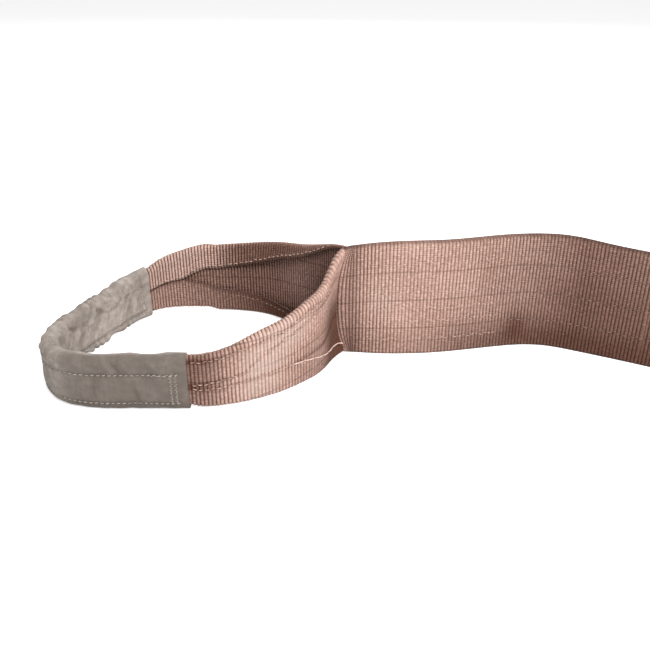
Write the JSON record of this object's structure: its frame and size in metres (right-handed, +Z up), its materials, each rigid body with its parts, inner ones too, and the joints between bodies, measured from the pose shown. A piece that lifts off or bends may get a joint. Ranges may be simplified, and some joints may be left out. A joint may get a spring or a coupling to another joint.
{
  "type": "flat web sling",
  "caption": "Flat two-ply webbing sling standing on its edge, with a half-width folded lifting eye in a grey wear sleeve at each end and a zigzag-sewn splice.",
  "frame": {"origin": "on the floor at the crotch of eye A, in the plane where the two plies part", "axes": "+X along the body from eye A towards eye B, +Z up across the webbing, +Y away from the front ply"},
  "size_m": [0.854, 0.1858, 0.09],
  "materials": {
    "webbing": "ribbed polyester webbing, dry and slightly worn",
    "thread": "bonded sewing thread, low sheen",
    "sleeve_cloth": "plain woven grey sleeve cloth, matt",
    "sleeve_thread": "sewing thread, low sheen",
    "label": "blank woven label, matt"
  },
  "bodies": {
    "body_a": {"front_ply_a": "webbing", "back_ply_a": "webbing", "splice_stitching_a": "thread", "lamination_seams_a": "thread"},
    "eye_a": {"crotch_tack_a": "webbing", "nose_webbing_a": "webbing", "sleeve_a": "sleeve_cloth", "sleeve_seams_a": "sleeve_thread", "sleeve_tacks_a": "sleeve_thread"},
    "near_leg_a": {"near_leg_a": "webbing", "near_leg_seams_a": "thread"},
    "far_leg_a": {"far_leg_a": "webbing", "far_leg_seams_a": "thread"},
    "body_b": {"front_ply_b": "webbing", "back_ply_b": "webbing", "splice_stitching_b": "thread", "lamination_seams_b": "thread", "middle_bend": "webbing", "identification_label": "label", "label_stitching": "thread"},
    "eye_b": {"crotch_tack_b": "webbing", "nose_webbing_b": "webbing", "sleeve_b": "sleeve_cloth", "sleeve_seams_b": "sleeve_thread", "sleeve_tacks_b": "sleeve_thread"},
    "near_leg_b": {"near_leg_b": "webbing", "near_leg_seams_b": "thread"},
    "far_leg_b": {"far_leg_b": "webbing", "far_leg_seams_b": "thread"}
  },
  "joints": [
    {"name": "body_bend", "type": "hinge", "parent": "body_a", "child": "body_b", "pos_m": [0.215, -0.019, 0], "axis": [0, 0, 1], "range_deg": [-75, 75]},
    {"name": "eye_a_swing", "type": "hinge", "parent": "body_a", "child": "eye_a", "pos_m": [0, 0, 0], "axis": [0, 0, 1], "range_deg": [-25, 25]},
    {"name": "eye_a_close", "type": "hinge", "parent": "eye_a", "child": "near_leg_a", "pos_m": [0, 0, 0], "axis": [0, 0, -1], "range_deg": [-8, 20], "deforming": ["nose_webbing_a", "sleeve_a", "sleeve_seams_a", "sleeve_tacks_a"]},
    {"name": "eye_a_close_far", "type": "hinge", "parent": "eye_a", "child": "far_leg_a", "pos_m": [0, 0, 0], "axis": [0, 0, -1], "range_deg": [-20, 8]},
    {"name": "eye_b_swing", "type": "hinge", "parent": "body_b", "child": "eye_b", "pos_m": [0.43, -0.038, 0], "axis": [0, 0, 1], "range_deg": [-25, 25]},
    {"name": "eye_b_close", "type": "hinge", "parent": "eye_b", "child": "near_leg_b", "pos_m": [0.43, -0.038, 0], "axis": [0, 0, -1], "range_deg": [-8, 20], "deforming": ["nose_webbing_b", "sleeve_b", "sleeve_seams_b", "sleeve_tacks_b"]},
    {"name": "eye_b_close_far", "type": "hinge", "parent": "eye_b", "child": "far_leg_b", "pos_m": [0.43, -0.038, 0], "axis": [0, 0, -1], "range_deg": [-20, 8]}
  ],
  "couplings": [
    {"joint": "eye_a_close_far", "follows": "eye_a_close", "ratio": -1},
    {"joint": "eye_b_close_far", "follows": "eye_b_close", "ratio": -1}
  ]
}
